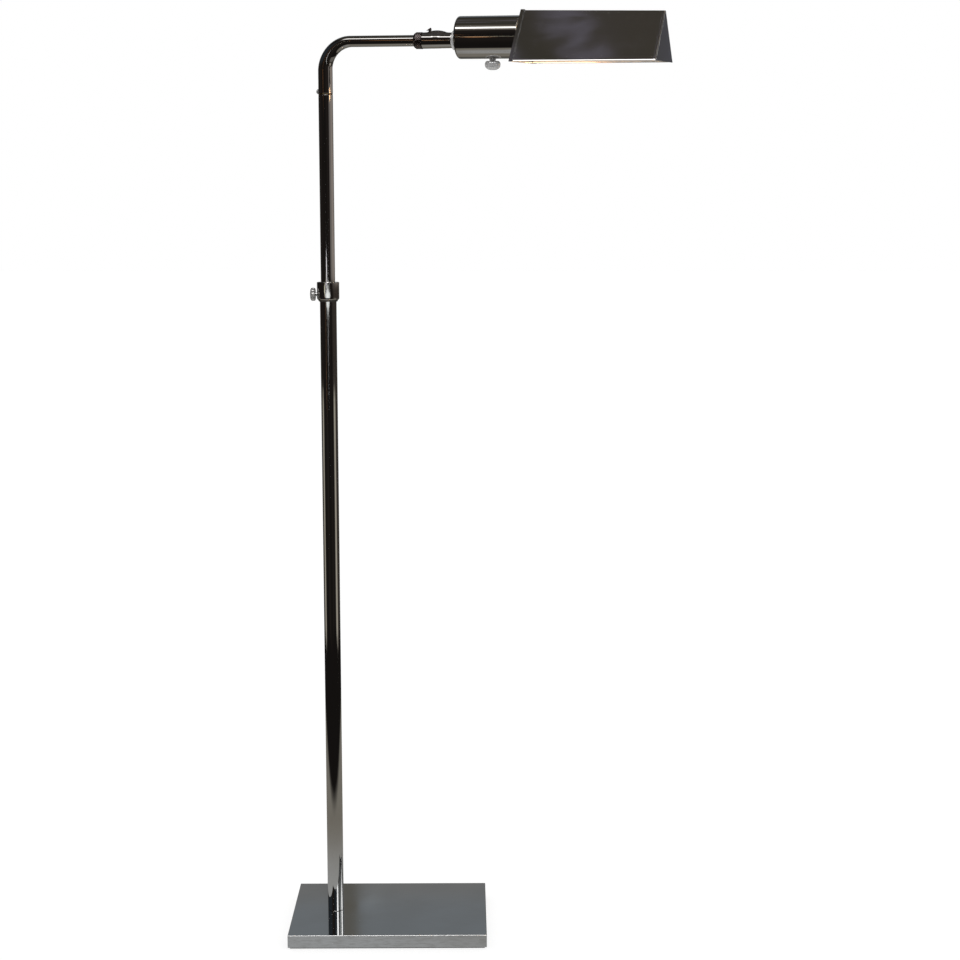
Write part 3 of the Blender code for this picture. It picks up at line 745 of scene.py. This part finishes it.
def build_friction_screw():
    shank = [(0.0, 13.2), (2.3, 13.2), (2.3, 12.5), (1.5, 12.5), (1.5, 8.9), (0.0, 8.9)]
    builder = lathe_mesh(softened(shank, 0.2), 64)
    screw = finish_mesh("friction_screw_fine", builder, FRICTION_PLACE, [KNURL_CHROME])
    wing_block = block((7.0, 1.8, 3.4), 0.35, 3, wing_taper)
    carve(screw, [finish_mesh("wing", wing_block, FRICTION_PLACE @ at(0, 0, 14.2))], "UNION")
    settle(screw, "friction_screw", "wing_screw")


# ---------------------------------------------------------------- head


def build_neck():
    along = HEAD_FRAME @ ALONG_X
    # The flange's pale satin chrome paints its bright highlight.
    flange = ring(12.0, NECK_BORE, 175.1, 178.8, 0.6)
    turned("neck_flange", flange, FLANGE_HIGHLIGHT_CHROME, "head", along, 0.4, 128)
    washer = ring(9.0, NECK_BORE, 179.1, 182.0)
    turned("neck_washer", washer, PLASTIC, "head", along, 0.3, 96)


def build_housing():
    corner = (HOUSING_RADIUS - HOUSING_CORNER, HOUSING_START + HOUSING_CORNER)
    outline = [
        (0.0, HOUSING_START + HOUSING_WALL),
        *arc(corner, HOUSING_CORNER - HOUSING_WALL, -90, 0, 8),
        (HOUSING_RADIUS - HOUSING_WALL, HOUSING_END),
        (HOUSING_RADIUS, HOUSING_END),
        *arc(corner, HOUSING_CORNER, 0, -90, 12),
        (0.0, HOUSING_START),
    ]
    cuts = [
        drill(NECK_BORE, 181.0, 185.0, HEAD_FRAME @ ALONG_X, 96),
        drill(4.4, 20.0, 30.0, SWITCH_PLACE),
    ]
    along = HOUSING_FRAME @ ALONG_X
    turned("housing_shell", outline, ARM_CHROME, "head", along, 0.3, 160, cuts=cuts)


def build_switch():
    bushing = ring(4.1, 2.6, 22.8, 28.7)
    turned("switch_bushing", bushing, SCREW_CHROME, "head", SWITCH_PLACE, 0.3, 64)
    profile = [
        (0.0, 11.4),
        (2.8, 11.3),
        (5.5, 10.7),
        (7.8, 9.5),
        (9.2, 8.0),
        (9.9, 6.4),
        (10.1, 4.8),
        (10.0, 2.9),
        (9.3, 1.3),
        (7.8, 0.15),
        (7.2, 0.0),
        (2.6, 0.0),
        (2.6, 9.3),
        (0.0, 9.3),
    ]
    turned(
        "switch_knob",
        [(radius, KNOB_FOOT + height) for radius, height in profile],
        KNOB_CHROME,
        "switch",
        SWITCH_PLACE,
        0.4,
        240,
        scallops(14, 0.7, KNOB_FOOT + 0.05, KNOB_FOOT + 10.6),
        split=0.8,
    )


# ---------------------------------------------------------------- shade

RIDGE_STEPS, PANEL_STEPS, HEM_STEPS, CANOPY_ROWS = 10, 26, 6, 60
END_THICKNESS, FLANGE_DEPTH, HEM_FOLD = 1.2, 5.0, 2.4
PANEL_NORMAL = (0.74, 0.67)


def shade_half(station, grow=0.0):
    """Half of the tent's section, from the ridge down to the hem's corner, as (side, height)."""
    share = (station - SHADE_START) / (SHADE_END - SHADE_START)
    ridge = RIDGE_AT_START + (RIDGE_AT_END - RIDGE_AT_START) * share
    slope = math.atan2(ridge - HEM_HEIGHT, HALF_WIDTH)
    radius = RIDGE_RADIUS + grow
    centre = ridge - RIDGE_RADIUS
    half = []
    for i in range(RIDGE_STEPS + 1):
        angle = slope * i / RIDGE_STEPS
        half.append((radius * math.sin(angle), centre + radius * math.cos(angle)))
    side, height = half[-1]
    half.append((side + (height - HEM_HEIGHT) / math.tan(slope), HEM_HEIGHT))
    return half


def whole(half):
    return [(-side, height) for side, height in reversed(half[1:])] + half


def canopy_half(station):
    """The section with even points down the panel, then a narrow steep facet and a rounded hem."""
    half = shade_half(station)
    top, corner = Vector(half[-2]), Vector(half[-1])
    lip = Vector((corner.x - 3.0, HEM_HEIGHT + 0.6))
    start = corner - (corner - top).normalized() * HEM_FOLD
    end = corner + (lip - corner).normalized() * HEM_FOLD
    points = [top + (start - top) * k / PANEL_STEPS for k in range(1, PANEL_STEPS + 1)]
    steep = Vector((math.sin(HEM_TILT), -math.cos(HEM_TILT)))
    points += [start + steep * reach for reach in (0.1, 0.4, 0.7, 1.0, 1.2)]
    facet_end = points[-1]
    points += bend(facet_end, facet_end + steep * 0.5, end, HEM_STEPS)[1:]
    points.append(lip)
    return half[:-1] + [(p.x, p.y) for p in points]


def panel_dent(station, side, height, share):
    """How far the thin sheet stands out from its flat panel. It is nothing at the hem, ridge and ends."""
    if abs(side) <= 2.2:
        return 0.0
    rise = max(0.0, min(1.0, (height - HEM_HEIGHT) / 55.0))
    middle = 4.0 * rise * (1.0 - rise) * min(1.0, 6.0 * min(share, 1.0 - share))
    return middle * (0.16 * noise.noise(Vector((station / 42.0, side / 30.0, height / 30.0))) - 0.10)


def build_canopy():
    start, end = SHADE_START + 1.6, SHADE_END - 1.5
    builder = bmesh.new()
    rows = []
    for i in range(CANOPY_ROWS + 1):
        share = i / CANOPY_ROWS
        station = start + (end - start) * share
        row = []
        for side, height in whole(canopy_half(station)):
            dent = panel_dent(station, side, height, share)
            y = side + dent * math.copysign(PANEL_NORMAL[0], side)
            row.append(builder.verts.new((MM * station, MM * y, MM * (height + dent * PANEL_NORMAL[1]))))
        rows.append(row)
    for a, b in zip(rows, rows[1:]):
        join_rows(builder, a, b, closed=False)
    canopy = finish_mesh("shade_canopy_fine", builder, HOUSING_FRAME, [SHADE_CHROME, SHADE_INSIDE])
    topmost = max(canopy.data.polygons, key=lambda face: face.center.z)
    if topmost.normal.z < 0.0:
        canopy.data.flip_normals()
    sheet = canopy.modifiers.new("Sheet", "SOLIDIFY")
    sheet.thickness = MM * 1.0
    sheet.offset = -1.0
    sheet.use_even_offset = True
    sheet.material_offset = 1
    settle(canopy, "shade_canopy", "head")


def slab(name, stations, outlines, materials=()):
    """A closed solid between two outlines of equal length."""
    builder = bmesh.new()
    rows = []
    for station, outline in zip(stations, outlines):
        rows.append([builder.verts.new((MM * station, MM * y, MM * z)) for y, z in outline])
    join_rows(builder, *rows)
    for row in rows:
        builder.faces.new(row)
    return finish_mesh(name, builder, HOUSING_FRAME, materials)


def build_back_plate():
    """A plate with a flange round its sides and ridge, which the canopy's end sits in."""
    face, flange_end = SHADE_START + END_THICKNESS, SHADE_START + FLANGE_DEPTH
    outer = [whole(shade_half(station, 1.1)) for station in (SHADE_START, flange_end)]
    plate = slab("shade_back_plate_fine", (SHADE_START, flange_end), outer, [SHADE_CHROME])
    inside = (face, flange_end + 1.0)
    inner = []
    for station in inside:
        outline = whole(shade_half(station, 0.35))
        outline[0] = (outline[0][0] - 5.0, HEM_HEIGHT - 5.0)
        outline[-1] = (outline[-1][0] + 5.0, HEM_HEIGHT - 5.0)
        inner.append(outline)
    cuts = [
        slab("back_inside", inside, inner),
        drill(18.5, SHADE_START - 1.0, face + 1.0, HOUSING_FRAME @ ALONG_X, 128),
    ]
    cuts += [drill(1.6, SHADE_START - 1.0, face + 1.0, place) for place in shade_screw_places()]
    carve(plate, cuts)
    rounded_rim(plate, 0.35)
    settle(plate, "shade_back_plate", "head")


def build_shade_screws():
    screw = [
        (0.0, 267.8),
        (1.0, 267.75),
        (1.9, 267.4),
        (2.5, 266.8),
        (2.6, 265.9),
        (1.3, 265.9),
        (1.3, 258.3),
        (0.0, 258.3),
    ]
    for i, place in enumerate(shade_screw_places()):
        cross = [
            finish_mesh("cross", block(size), place @ at(0, 0, 267.8))
            for size in ((3.0, 0.6, 1.6), (0.6, 3.0, 1.6))
        ]
        node = f"shade_screw_{i + 1}"
        turned(node, screw, ZINC, "head", place, 0.15, 48, cuts=cross)


def build_front_plate():
    faces = (SHADE_END - END_THICKNESS, SHADE_END)
    outlines = [whole(shade_half(station)) for station in faces]
    plate = slab("shade_front_plate_fine", faces, outlines, [SHADE_CHROME])
    rounded_rim(plate, 0.4)
    settle(plate, "shade_front_plate", "head")


def build_bulb():
    tip = (0.0, BULB_TIP_CENTRE)
    bore = BULB_RADIUS - BULB_WALL
    glass = [
        (0.0, BULB_TIP_CENTRE + BULB_RADIUS),
        *arc(tip, BULB_RADIUS, 84, 0, 14),
        (BULB_RADIUS, 247.0),
        (14.6, 244.2),
        (13.4, 241.0),
        (12.4, 238.4),
        (12.4, 231.3),
        (11.5, 231.3),
        (11.5, 239.0),
        (bore, 247.0),
        *arc(tip, bore, 0, 84, 14),
        (0.0, BULB_TIP_CENTRE + bore),
    ]
    along = HOUSING_FRAME @ ALONG_X
    turned("bulb_glass", glass, GLASS, "head", along, 0.3, 96, split=6.0)


def build_shade_ring():
    band = ring(24.9, 19.2, 257.1, 263.8)
    cuts = [drill(1.6, 255.0, 265.0, place) for place in shade_screw_places()]
    along = HOUSING_FRAME @ ALONG_X
    turned("shade_ring", band, ZINC, "head", along, 0.4, 96, cuts=cuts)


# ---------------------------------------------------------------- CAD nodes that stay as they are

CAD_FINISHES = {
    "base_pad": FELT,
    "base_nipple": ZINC,
    "base_washer": ZINC,
    "base_nut": ZINC,
    "pole_foot_plug": ZINC,
    "pressure_shoe": BRASS,
    "guide_bush": PLASTIC,
    "swivel_spigot": BRASS,
    "friction_shoe": PLASTIC,
    "head_spindle": BRASS,
    "spindle_washer": ZINC,
    "spindle_nut": ZINC,
    "socket_body": CERAMIC,
    "socket_shell": BRASS,
    "socket_contact": BRASS,
    "switch_block": PLASTIC,
    "switch_nut": ZINC,
    "switch_shaft": BRASS,
    "bulb_cap": CAP_METAL,
}


def finish_cad_nodes():
    """These keep their shape and take a finished material."""
    for name, material in CAD_FINISHES.items():
        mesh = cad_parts[name].data
        mesh.materials.clear()
        mesh.materials.append(material)


# ---------------------------------------------------------------- camera and floor

CAMERA_PLACE, CAMERA_LENS = (0.18212, -2.22731, 0.94127), 62.214
CAMERA_DIP, CAMERA_TURN = math.radians(8.020), math.radians(-0.525)

WHITE = linear(255, 255, 255)
ROOM = linear(22, 20, 19)
FLOOR_NEAR, FLOOR_LIT = linear(155, 157, 158), linear(120, 117, 110)
FLOOR_MOTTLE, FLOOR_SHADOW = linear(104, 102, 96), linear(34, 32, 30)


def build_camera():
    data = bpy.data.cameras.new("camera")
    data.lens = CAMERA_LENS
    data.sensor_width = 36.0
    camera = bpy.data.objects.new("camera", data)
    bpy.context.scene.collection.objects.link(camera)
    camera.location = CAMERA_PLACE
    camera.rotation_euler = (math.pi / 2 - CAMERA_DIP, 0.0, CAMERA_TURN)
    bpy.context.scene.camera = camera


def floor_plane(name, height, size, material):
    builder = bmesh.new()
    corners = [(-size, -size), (size, -size), (size, size), (-size, size)]
    builder.faces.new([builder.verts.new((x, y, height)) for x, y in corners])
    plane = finish_mesh(name, builder, WORLD_FRAME, [material])
    return plane


def build_pale_floor():
    """The floor for the eye."""
    material, t = material_tree("pale_floor")
    shade = t.mix(t.noise(t.object_coords(), 3.0, 3.0), linear(253, 253, 253), WHITE)
    diffuse = t.add("ShaderNodeBsdfDiffuse", {"Color": shade})
    glow = t.add("ShaderNodeEmission", {"Color": shade, "Strength": 1.07})
    t.surface(t.add("ShaderNodeMixShader", {0: 0.24, 1: glow, 2: diffuse}))
    floor = floor_plane("floor", -0.0002, 60.0, material)
    floor.visible_glossy = False


def build_studio_floor():
    """The studio's own floor, which only the chrome sees: lit round the lamp, with a shadow in front."""
    material, t = material_tree("studio_floor")
    coords = t.object_coords()
    mottle = t.noise(t.stretched(coords, (1.0, 2.4, 1.0)), 70.0, 4.0, 0.6)
    lit = t.mix(t.step(t.distance(coords), 0.1, 0.45), FLOOR_NEAR, FLOOR_LIT)
    lit = t.mix(t.math("MULTIPLY", t.step(mottle, 0.4, 0.7), 0.35), lit, FLOOR_MOTTLE)
    lit = t.mix(t.step(t.distance(coords, 0.05, -0.85), 0.22, 0.3), FLOOR_SHADOW, lit)
    colour = t.mix(t.step(t.distance(coords, 0.0, 0.36), 0.8, 0.98), lit, ROOM)
    t.surface(t.add("ShaderNodeEmission", {"Color": colour}))
    floor = floor_plane("studio_floor", -0.0004, 1.6, material)
    floor.visible_camera = False
    floor.visible_diffuse = False
    floor.visible_shadow = False
    floor.visible_transmission = False


# ---------------------------------------------------------------- surroundings

SIDE_LIGHT = (1.5, 1.55, 1.6, 1.0)


class Studio:
    """The room that the chrome mirrors, painted over the directions that its light comes from.

    turn is 0 on the camera's side of the lamp, 90 to its right and 180 behind it. up is 0 on the
    horizon. Both are in degrees. What is painted later covers what is there already.
    """

    def __init__(self, t):
        self.t = t
        self.direction = t.add("ShaderNodeTexCoord", output=0)
        x, y, z = (t.add("ShaderNodeSeparateXYZ", {0: self.direction}, axis) for axis in range(3))
        degrees = 180 / math.pi
        self.up = t.math("MULTIPLY", t.math("ARCSINE", z), degrees)
        self.turn = t.math("MULTIPLY", t.math("ARCTAN2", x, t.math("MULTIPLY", y, -1.0)), degrees)
        self.aside = t.math("ABSOLUTE", self.turn)
        cloud = t.noise(self.direction, 2.6, 3.0, 0.55)
        self.view = t.mix(t.step(cloud, 0.35, 0.7), ROOM, linear(34, 30, 28))

    def paint(self, mask, colour):
        self.view = self.t.mix(mask, self.view, colour)

    def area(self, turns, ups, softness):
        across = self.t.band(self.turn, *turns, softness[0])
        return self.t.math("MULTIPLY", across, self.t.band(self.up, *ups, softness[1]))

    def patch(self, turns, ups, colour, softness=(2.0, 2.0)):
        self.paint(self.area(turns, ups, softness), colour)


def paint_ceiling(studio):
    t = studio.t
    streaks = t.noise(t.stretched(studio.direction, (0.3, 0.3, 9.0)), 3.0, 2.0, 0.6)
    ceiling = t.mix(t.step(streaks, 0.4, 0.65), linear(50, 49, 43), linear(62, 59, 53))
    blotch = t.step(t.noise(studio.direction, 34.0, 1.0, 0.4), 0.48, 0.74)
    overhead = t.step(studio.up, 62.0, 74.0)
    ceiling = t.mix(t.math("MULTIPLY", blotch, overhead), ceiling, linear(94, 92, 102))
    studio.paint(t.step(studio.up, 52.0, 58.0), ceiling)


def paint_behind(studio):
    """The grey wall behind the lamp, with the stripe and the glint that the base's top mirrors."""
    t = studio.t
    level = t.band(studio.up, -6.0, 46.0, 5.0)
    wall = t.mix(t.step(studio.up, 21.9, 22.3), linear(113, 113, 112), linear(109, 114, 118))
    studio.paint(t.math("MULTIPLY", t.step(studio.aside, 128.0, 150.0), level), wall)
    studio.patch((-176.12, -175.3), (4.0, 40.0), linear(88, 86, 80), (0.05, 2.0))
    studio.patch((-176.95, -176.35), (22.0, 22.3), linear(126, 131, 134), (0.2, 0.15))
    below = t.band(studio.up, -75.0, -6.0, 4.0)
    studio.paint(t.math("MULTIPLY", t.step(studio.aside, 118.0, 150.0), below), linear(98, 99, 94))


def paint_beside(studio):
    """The warm greys to the sides that the pole, the mast and the undersides mirror."""
    studio.patch((52.0, 166.0), (-70.0, -17.0), linear(100, 98, 94), (8.0, 4.0))
    studio.patch((60.0, 150.0), (-17.0, -1.2), linear(52, 47, 44), (10.0, 0.15))
    studio.patch((52.0, 176.0), (-1.2, 13.0), linear(112, 107, 104), (9.0, 0.12))
    studio.patch((84.0, 126.0), (-1.2, 13.0), linear(138, 130, 124), (9.0, 0.12))
    for turns in ((-108.0, -84.0), (66.0, 92.0)):
        studio.patch(turns, (-13.5, -5.0), linear(160, 155, 144), (7.0, 0.5))


def paint_glints(studio):
    """The small lights near the horizon, which make the bright marks on the collar and the tubes."""
    t = studio.t
    offset = t.math("DIVIDE", t.math("ABSOLUTE", t.math("ADD", studio.up, 1.78)), 0.5)
    diamond = t.math("ADD", offset, t.math("DIVIDE", studio.aside, 30.0))
    studio.paint(t.math("SUBTRACT", 1.0, t.step(diamond, 0.85, 1.1)), (1.0, 1.05, 1.05, 1.0))
    studio.patch((-35.0, -27.0), (-1.65, -1.25), linear(250, 250, 225), (1.5, 0.1))
    studio.patch((-22.0, -10.0), (-1.25, -0.3), linear(250, 248, 255), (2.0, 0.15))
    spots = t.step(t.noise(studio.direction, 150.0, 1.0), 0.6, 0.66)
    dashes = t.math("MULTIPLY", studio.area((-5.0, 3.0), (-5.2, -2.4), (1.5, 0.3)), spots)
    studio.paint(dashes, (1.2, 1.25, 1.3, 1.0))


def paint_lights(studio):
    """The soft boxes above the camera and at the sides, and the dark gaps between them."""
    studio.patch((-50.0, 38.0), (33.0, 58.0), linear(104, 100, 96), (6.0, 3.0))
    studio.patch((-50.0, 38.0), (41.0, 48.5), (2.2, 2.2, 2.2, 1.0), (6.0, 0.8))
    studio.patch((-122.0, -50.0), (16.0, 40.0), linear(36, 41, 46), (8.0, 3.0))
    studio.patch((-14.0, 20.0), (16.0, 40.0), linear(36, 41, 46), (2.0, 3.0))
    studio.patch((22.0, 42.0), (21.5, 33.0), SIDE_LIGHT, (2.0, 0.25))
    studio.patch((62.0, 84.0), (21.5, 40.0), linear(142, 148, 150), (6.0, 0.25))
    studio.patch((94.0, 116.0), (21.5, 36.0), SIDE_LIGHT, (2.0, 0.25))
    studio.patch((-20.0, 14.0), (35.0, 80.0), (3.0, 3.0, 3.0, 1.0), (3.0, 3.0))


def paint_details(studio):
    """The orange streaks on the housing and the arm, and the dark end of the shade."""
    studio.patch((-33.2, -32.4), (-5.6, -1.6), linear(180, 132, 92), (0.08, 0.6))
    studio.patch((-36.2, -33.6), (5.0, 10.0), linear(142, 98, 62), (0.3, 0.8))
    studio.patch((148.0, 162.0), (1.0, 13.0), linear(68, 68, 70))
    studio.patch((153.9, 156.5), (1.0, 13.0), linear(92, 92, 103), (0.15, 2.0))


def build_world():
    """White to the eye, an even soft light on matt surfaces, and a dim studio in the chrome."""
    world = bpy.data.worlds.new("studio")
    bpy.context.scene.world = world
    world.use_nodes = True
    world.cycles.sampling_method = "NONE"
    t = Tree(world.node_tree)
    studio = Studio(t)
    paint_ceiling(studio)
    paint_behind(studio)
    paint_beside(studio)
    paint_glints(studio)
    paint_lights(studio)
    paint_details(studio)
    soft = t.mix(t.step(studio.up, -10.0, 60.0), linear(232, 232, 232), WHITE)
    colour = t.mix(t.add("ShaderNodeLightPath", output="Is Glossy Ray"), soft, studio.view)
    colour = t.mix(t.add("ShaderNodeLightPath", output="Is Camera Ray"), colour, WHITE)
    background = t.add("ShaderNodeBackground", {"Color": colour, "Strength": 1.0})
    t.surface(background, "ShaderNodeOutputWorld")


build_camera()
build_pale_floor()
build_studio_floor()
build_world()
build_base()
build_pole()
build_clamp()
build_arm()
build_swivel_screw()
build_gland()
build_barrel()
build_friction_screw()
build_neck()
build_housing()
build_switch()
build_canopy()
build_back_plate()
build_shade_screws()
build_front_plate()
build_bulb()
build_shade_ring()
finish_cad_nodes()

bpy.context.scene.view_settings.view_transform = "Standard"
